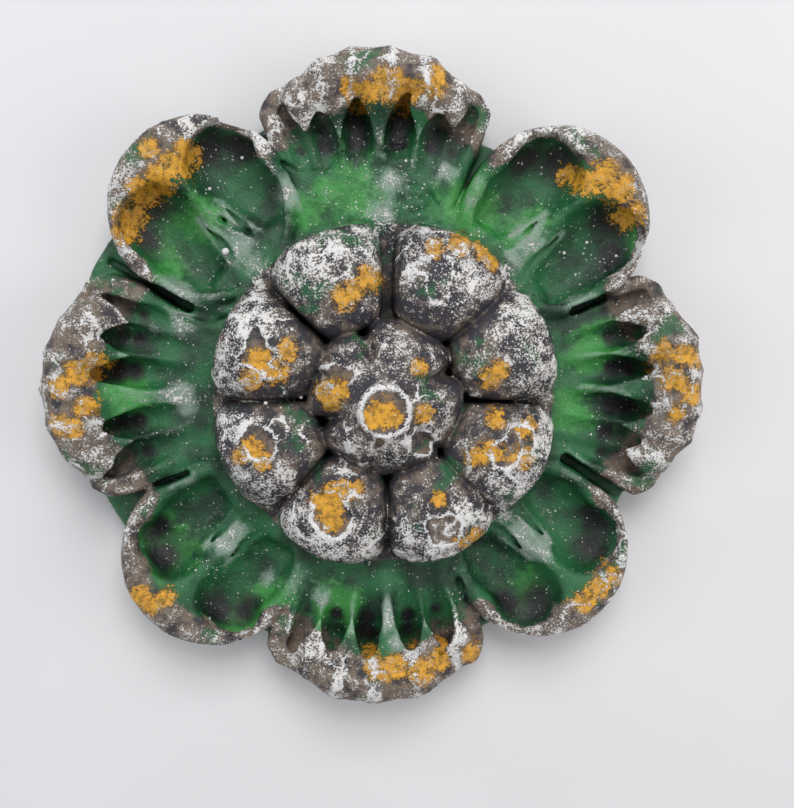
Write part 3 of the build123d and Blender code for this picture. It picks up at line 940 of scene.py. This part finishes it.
class Paint:
    """One material, built from short calls. Patterns lie on Object coordinates, in millimetres."""

    def __init__(self, name):
        self.material = bpy.data.materials.new(name)
        self.material.use_nodes = True
        self.tree = self.material.node_tree
        self.shader = self.tree.nodes["Principled BSDF"]
        place = self.node("ShaderNodeTexCoord").outputs["Object"]
        scaled = self.node("ShaderNodeVectorMath", ((0, place), ("Scale", 1.0 / MM)), operation="SCALE")
        self.place = scaled.outputs[0]

    def node(self, kind, feeds=(), **settings):
        """Node of this material."""
        return node(self.tree, kind, feeds, **settings)

    def masks(self, *names):
        """Some of the casting's own attributes."""
        return [self.node("ShaderNodeAttribute", attribute_name=name).outputs["Fac"] for name in names]

    def noise(self, size, detail=4.0, roughness=0.6, shift=0.0):
        """Noise whose largest features are about size millimetres."""
        moved = self.node(
            "ShaderNodeMapping", (("Vector", self.place), ("Location", (shift, shift * 0.7, shift * 0.3)))
        )
        feeds = (("Vector", moved.outputs[0]), ("Scale", 1.0 / size), ("Detail", detail), ("Roughness", roughness))
        return self.node("ShaderNodeTexNoise", feeds).outputs["Fac"]

    def dots(self, spacing, share):
        """Round dots with random sizes, about spacing millimetres apart."""
        cells = self.node("ShaderNodeTexVoronoi", (("Vector", self.place), ("Scale", 1.0 / spacing)))
        chance = self.node("ShaderNodeSeparateColor", ((0, cells.outputs["Color"]),)).outputs[0]
        size = self.times(self.calc("POWER", chance, 3.0), share)
        return self.rise(self.calc("SUBTRACT", size, cells.outputs["Distance"]), 0.0, 0.06)

    def calc(self, how, a, b):
        """One sum."""
        return self.node("ShaderNodeMath", ((0, a), (1, b)), operation=how).outputs[0]

    def times(self, a, b):
        """Product of two values."""
        return self.calc("MULTIPLY", a, b)

    def add(self, *terms):
        """Adds (value, weight) pairs."""
        total = 0.0
        for value, weight in terms:
            total = self.calc("ADD", total, self.times(value, weight))
        return total

    def rise(self, value, low, high):
        """Rises smoothly from 0 at low to 1 at high."""
        feeds = (("Value", value), ("From Min", low), ("From Max", high))
        return self.node("ShaderNodeMapRange", feeds, interpolation_type="SMOOTHSTEP").outputs[0]

    def blend(self, a, b, share):
        """Colour between two colours."""
        return self.node("ShaderNodeMix", ((0, share), (6, a), (7, b)), data_type="RGBA").outputs[2]

    def between(self, a, b, share):
        """Number between two numbers."""
        return self.node("ShaderNodeMix", ((0, share), (2, a), (3, b)), data_type="FLOAT").outputs[0]

    def surface(self, colour, roughness, height, depth):
        """Gives the shader its colour, roughness and bump, whose full height is depth millimetres."""
        bump = self.node("ShaderNodeBump", (("Strength", 1.0), ("Distance", depth * MM), ("Height", height)))
        for key, value in (("Base Color", colour), ("Roughness", roughness), ("Normal", bump.outputs[0])):
            feed(self.tree, self.shader.inputs[key], value)
        return self.material


def cast_paint(colours):
    """Satin greens, dark washes with painted shade under the hoods and in the deepest hollows, dabbed ochre and dry
    brushed white over the plaster.
    """
    paint = Paint("painted_cast")
    recess, edge, hood, boss_top, outer, ochre_dab, bright = paint.masks(
        "recess", "edge", "hood", "boss", "outer_boss", "ochre", "bright"
    )
    dragged, rim, arris, shade, streak, crater, vein = paint.masks(
        "dragged", "rim", "arris", "shade", "streak", "crater", "vein"
    )
    broad = paint.noise(10.0, 3.0, 0.55)
    patchy = paint.noise(4.0, 4.0, 0.62, 31.0)
    ragged = paint.noise(1.7, 5.0, 0.72, 57.0)
    grain = paint.noise(0.46, 3.0, 0.7, 83.0)

    green = paint.blend(colours.deep_green, colours.leaf_green, paint.rise(broad, 0.36, 0.62))
    bright_share = paint.add((bright, 0.75), (patchy, 0.7), (ragged, 0.7), (edge, 0.3), (streak, 0.3))
    green = paint.blend(green, colours.bright_green, paint.rise(bright_share, 1.2, 1.65))
    film = paint.add(
        (edge, 0.95), (bright, 0.15), (dragged, 0.9), (ragged, 0.8), (patchy, 0.4), (recess, -1.4), (streak, 0.7),
        (shade, -1.5), (hood, -0.6), (grain, 0.5),
    )
    green = paint.blend(green, colours.mint, paint.times(paint.rise(film, 1.32, 2.1), 0.85))

    zone = paint.calc("MAXIMUM", hood, boss_top)
    zone_share = paint.rise(paint.add((zone, 1.0), (patchy, 0.7), (ragged, 0.4)), 0.95, 1.25)
    warm = paint.rise(paint.add((patchy, 1.0), (hood, 0.10), (crater, 0.08), (ragged, 0.2)), 0.52, 0.74)
    stone = paint.blend(colours.violet, colours.brown, warm)
    mossy = paint.times(paint.rise(broad, 0.56, 0.65), 0.75)
    stone = paint.blend(stone, colours.leaf_green, mossy)
    colour = paint.blend(green, stone, zone_share)

    # Near black over the hollows: partly the real black washed in, partly painted shade, darker where the surface is
    # hidden or under a hood and darkest in the hollows under the lips and the pockets of the flutes.
    wash_and_painted_shade = paint.rise(paint.add((recess, 0.66), (shade, 0.85), (patchy, 0.40), (ragged, 0.30)), 0.62, 1.2)
    colour = paint.blend(colour, colours.recess, wash_and_painted_shade)

    ochre_sum = paint.add((ochre_dab, 0.62), (ragged, 0.8), (patchy, 0.45), (grain, 0.95), (crater, 0.07))
    ochre_share = paint.rise(ochre_sum, 1.41, 1.51)
    old_ochre = tuple(c * 0.42 for c in colours.ochre)
    ochre_tone = paint.blend(old_ochre, colours.ochre, paint.rise(ragged, 0.35, 0.6))
    colour = paint.blend(colour, ochre_tone, ochre_share)

    cover = paint.add(
        (hood, 0.16), (paint.times(hood, edge), 0.12), (boss_top, 0.15), (outer, 0.12),
        (paint.times(boss_top, edge), 0.12), (dragged, 0.22), (edge, 0.10), (rim, 0.26), (recess, -0.30),
        (ochre_share, -0.08), (arris, 0.16), (shade, -0.3), (streak, 0.15), (crater, -0.20), (vein, 0.22),
    )
    fleck_height = paint.add((grain, 0.80), (ragged, 0.32), (cover, 0.60), (patchy, 0.45))
    flecks = paint.rise(fleck_height, 0.962, 1.03)
    specks = paint.times(paint.dots(0.95, 0.36), paint.rise(patchy, 0.4, 0.7))
    white_share = paint.calc("MAXIMUM", flecks, specks)
    colour = paint.blend(colour, colours.white, white_share)

    roughness = paint.between(0.36, 0.62, zone_share)
    roughness = paint.between(roughness, 0.74, white_share)
    height = paint.add((white_share, 0.35), (grain, 0.35), (ragged, 0.6), (ochre_share, 0.25), (patchy, 0.4))
    return paint.surface(colour, roughness, height, 0.5)


def white_paint(colours):
    """Thick white of the drops."""
    paint = Paint("white_drops")
    tone = paint.rise(paint.noise(0.8, 3.0, 0.6), 0.3, 0.7)
    colour = paint.blend(tuple(c * 0.86 for c in colours.white), colours.white, tone)
    return paint.surface(colour, paint.between(0.42, 0.6, tone), tone, 0.04)


def floor_paint(colour):
    """Pale card with a faint mottle."""
    paint = Paint("pale_floor")
    tone = paint.rise(paint.noise(60.0, 3.0, 0.5), 0.3, 0.7)
    shade = paint.blend(tuple(c * 0.97 for c in colour), tuple(colour), tone)
    return paint.surface(shade, paint.between(0.8, 0.9, tone), paint.noise(0.8, 2.0, 0.5), 0.02)


def plain_copy(thing):
    """The evaluated object's shape as a mesh of its own."""
    view = bpy.context.evaluated_depsgraph_get()
    view.update()
    return bpy.data.meshes.new_from_object(thing.evaluated_get(view), preserve_all_data_layers=True, depsgraph=view)


def new_tree(name, inputs):
    """Geometry tree with named inputs and one geometry output."""
    tree = bpy.data.node_groups.new(name, "GeometryNodeTree")
    tree.interface.new_socket("Geometry", in_out="INPUT", socket_type="NodeSocketGeometry")
    for label, kind in inputs:
        tree.interface.new_socket(label, in_out="INPUT", socket_type=kind)
    tree.interface.new_socket("Geometry", in_out="OUTPUT", socket_type="NodeSocketGeometry")
    return tree, node(tree, "NodeGroupInput"), node(tree, "NodeGroupOutput")


def speck_tree():
    """Scatters flattened drops over a surface, as thick as its spatter mask says."""
    tree, given, result = new_tree(
        "white_specks",
        (
            ("Specks", "NodeSocketFloat"), ("Smallest", "NodeSocketFloat"), ("Largest", "NodeSocketFloat"),
            ("Seed", "NodeSocketInt"), ("Material", "NodeSocketMaterial"),
        ),
    )
    given = given.outputs
    mask = named_number(tree, "spatter")
    thick = node(tree, "ShaderNodeMath", ((0, given["Specks"]), (1, mask)), operation="MULTIPLY")
    feeds = (("Mesh", given["Geometry"]), ("Density", thick.outputs[0]), ("Seed", given["Seed"]))
    points = node(tree, "GeometryNodeDistributePointsOnFaces", feeds)
    chance = node(tree, "FunctionNodeRandomValue", (("Seed", given["Seed"]),), data_type="FLOAT")
    few = node(tree, "ShaderNodeMath", ((0, chance.outputs[1]), (1, 3.0)), operation="POWER")
    feeds = (("Value", few.outputs[0]), ("To Min", given["Smallest"]), ("To Max", given["Largest"]))
    size = node(tree, "ShaderNodeMapRange", feeds)
    feeds = ((0, (1.15, 0.9, 0.55)), ("Scale", size.outputs[0]))
    shape = node(tree, "ShaderNodeVectorMath", feeds, operation="SCALE")
    drop = node(tree, "GeometryNodeMeshIcoSphere", (("Radius", 1.0), ("Subdivisions", 1)))
    feeds = (
        ("Points", points.outputs["Points"]), ("Rotation", points.outputs["Rotation"]),
        ("Instance", drop.outputs["Mesh"]), ("Scale", shape.outputs[0]),
    )
    finish_tree(tree, node(tree, "GeometryNodeInstanceOnPoints", feeds).outputs[0], given, result)
    return tree


def named_number(tree, name):
    """A mesh's own attribute, read in a geometry tree."""
    return node(tree, "GeometryNodeInputNamedAttribute", (("Name", name),), data_type="FLOAT").outputs["Attribute"]


def bead_tree():
    """Puts a round drop on each point of a mesh, as large as its radius attribute says."""
    tree, given, result = new_tree("white_beads", (("Flatness", "NodeSocketFloat"), ("Material", "NodeSocketMaterial")))
    given = given.outputs
    points = node(tree, "GeometryNodeMeshToPoints", (("Mesh", given["Geometry"]),))
    shape = node(tree, "ShaderNodeCombineXYZ", ((0, 1.0), (1, 1.0), (2, given["Flatness"])))
    feeds = ((0, shape.outputs[0]), ("Scale", named_number(tree, "drop_radius")))
    size = node(tree, "ShaderNodeVectorMath", feeds, operation="SCALE")
    drop = node(tree, "GeometryNodeMeshIcoSphere", (("Radius", 1.0), ("Subdivisions", 4)))
    feeds = (("Points", points.outputs[0]), ("Instance", drop.outputs["Mesh"]), ("Scale", size.outputs[0]))
    finish_tree(tree, node(tree, "GeometryNodeInstanceOnPoints", feeds).outputs[0], given, result)
    return tree


def finish_tree(tree, socket, given, result):
    """Ends a tree: smooth shading, real geometry instead of instances, and the material."""
    smooth = node(tree, "GeometryNodeSetShadeSmooth", ((0, socket),))
    real = node(tree, "GeometryNodeRealizeInstances", ((0, smooth.outputs[0]),))
    painted = node(tree, "GeometryNodeSetMaterial", ((0, real.outputs[0]), ("Material", given["Material"])))
    tree.links.new(painted.outputs[0], result.inputs[0])


def placed(name, data):
    """New object, linked to the scene."""
    thing = bpy.data.objects.new(name, data)
    bpy.context.scene.collection.objects.link(thing)
    return thing


def grown(name, mesh, tree, values):
    """New piece grown from a mesh by a geometry tree, as a plain mesh."""
    source = placed(name + "_source", mesh)
    live = source.modifiers.new("grow", "NODES")
    live.node_group = tree
    for item in tree.interface.items_tree:
        if item.in_out == "INPUT" and item.name in values:
            live[item.identifier] = values[item.name]
    shape = plain_copy(source)
    source.modifiers.remove(live)
    bpy.data.objects.remove(source)
    shape.name = name
    piece = placed(name, shape)
    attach(piece, "root")
    return piece


class ROSETTE_OT_casting(bpy.types.Operator):
    """Sculpts the one-piece casting, paints it and lets it stand for the CAD part."""

    bl_idname = "rosette.casting"
    bl_label = "Sculpt the casting"

    def execute(self, context):
        form = context.scene.rosette_form
        clay = sculpt(form.field_step / MM)
        mesh = cast_mesh(clay, form.triangles)
        mesh.name = "cast_rosette"
        finish_masks(clay, mesh)
        mesh.materials.clear()
        mesh.materials.append(cast_paint(context.scene.rosette_paint))
        piece = placed("cast_rosette", mesh)
        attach(piece, "root")
        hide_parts("rosette")
        print("casting triangles", len(mesh.polygons))
        return {"FINISHED"}


class ROSETTE_OT_spatter(bpy.types.Operator):
    """Scatters white specks over the paint and sets the larger drops."""

    bl_idname = "rosette.spatter"
    bl_label = "Spatter the white"

    def execute(self, context):
        spatter = context.scene.rosette_spatter
        cast = bpy.data.objects.get("cast_rosette")
        if cast is None:
            raise RuntimeError("the casting is sculpted before it is spattered")
        white = white_paint(context.scene.rosette_paint)
        values = {
            "Specks": spatter.density, "Smallest": spatter.smallest, "Largest": spatter.largest,
            "Seed": spatter.seed, "Material": white,
        }
        specks = grown("white_specks", cast.data.copy(), speck_tree(), values)
        context.view_layer.update()
        places = []
        for px, py, radius in BEADS:
            found, spot, normal, _ = cast.ray_cast(Vector((px, py, 60.0)) * MM, Vector((0, 0, -1)))
            if not found:
                raise RuntimeError("a drop lies outside the casting")
            places.append(spot + normal * radius * 0.35 * MM)
        mesh = bpy.data.meshes.new("bead_places")
        mesh.from_pydata(places, [], [])
        layer = mesh.attributes.new("drop_radius", "FLOAT", "POINT")
        layer.data.foreach_set("value", [radius * MM for px, py, radius in BEADS])
        beads = grown("white_beads", mesh, bead_tree(), {"Flatness": 0.85, "Material": white})
        print("speck triangles", len(specks.data.polygons), "bead triangles", len(beads.data.polygons))
        return {"FINISHED"}


def set_camera():
    """Camera almost straight above, as the photo was taken."""
    data = bpy.data.cameras.new("camera")
    data.sensor_width = 36.0
    data.lens = CAMERA_LENS
    data.clip_start = 0.01
    data.clip_end = 10.0
    cam = placed("camera", data)
    place = Vector(CAMERA_PLACE)
    aim = (Vector(CAMERA_AIM) - place).normalized()
    right = aim.cross(Vector((0, 1, 0))).normalized()
    cam.location = place * MM
    cam.rotation_mode = "QUATERNION"
    cam.rotation_quaternion = Matrix((right, right.cross(aim), -aim)).transposed().to_quaternion()
    bpy.context.scene.camera = cam


def lamp(name, place, size, power, colour):
    """Square soft lamp that looks at the tile."""
    data = bpy.data.lights.new(name, "AREA")
    data.size = size
    data.energy = power
    data.color = colour
    thing = placed(name, data)
    thing.location = place
    thing.rotation_mode = "QUATERNION"
    thing.rotation_quaternion = (-Vector(place)).to_track_quat("-Z", "Y")


class ROSETTE_OT_stage(bpy.types.Operator):
    """Lays the pale floor, sets the soft lamps, the sky and the camera."""

    bl_idname = "rosette.stage"
    bl_label = "Set the stage"

    def execute(self, context):
        stage = context.scene.rosette_stage
        mesh = bpy.data.meshes.new("floor")
        mesh.from_pydata([(-2, -2, 0), (2, -2, 0), (2, 2, 0), (-2, 2, 0)], [], [(0, 1, 2, 3)])
        floor = placed("floor", mesh)
        floor.location = (0, 0, -0.0002)
        mesh.materials.append(floor_paint(stage.floor))
        for name, place, size, power, colour in LAMPS:
            lamp(name, place, size, power * stage.power, colour)
        world = bpy.data.worlds.new("world")
        context.scene.world = world
        world.use_nodes = True
        world.node_tree.nodes["Background"].inputs["Color"].default_value = (0.33, 0.33, 0.34, 1.0)
        context.scene.view_settings.view_transform = "Standard"
        set_camera()
        return {"FINISHED"}


class ROSETTE_PT_panel(bpy.types.Panel):
    """Sidebar panel that lists the settings and the steps."""

    bl_idname = "ROSETTE_PT_panel"
    bl_label = "Rosette wall tile"
    bl_space_type = "VIEW_3D"
    bl_region_type = "UI"
    bl_category = "Rosette"

    def draw(self, context):
        for group, _, step in SETTINGS:
            box = self.layout.box()
            settings = getattr(context.scene, group)
            for name in settings.bl_rna.properties.keys():
                if name not in ("rna_type", "name"):
                    box.prop(settings, name)
            if step:
                box.operator(step)


SETTINGS = (
    ("rosette_form", RosetteForm, "rosette.casting"),
    ("rosette_paint", RosettePaint, ""),
    ("rosette_spatter", RosetteSpatter, "rosette.spatter"),
    ("rosette_stage", RosetteStage, "rosette.stage"),
)
CLASSES = (
    RosetteForm, RosettePaint, RosetteSpatter, RosetteStage,
    ROSETTE_OT_casting, ROSETTE_OT_spatter, ROSETTE_OT_stage, ROSETTE_PT_panel,
)


def register():
    """Makes the settings, steps and panel known to Blender."""
    for kind in CLASSES:
        bpy.utils.register_class(kind)
    for name, kind, _ in SETTINGS:
        setattr(bpy.types.Scene, name, bpy.props.PointerProperty(type=kind))


def unregister():
    """Takes them away again."""
    for name, _, _ in SETTINGS:
        delattr(bpy.types.Scene, name)
    for kind in reversed(CLASSES):
        bpy.utils.unregister_class(kind)


def main():
    """Runs the steps in order."""
    register()
    bpy.ops.rosette.casting()
    bpy.ops.rosette.spatter()
    bpy.ops.rosette.stage()


if __name__ == "__main__":
    main()
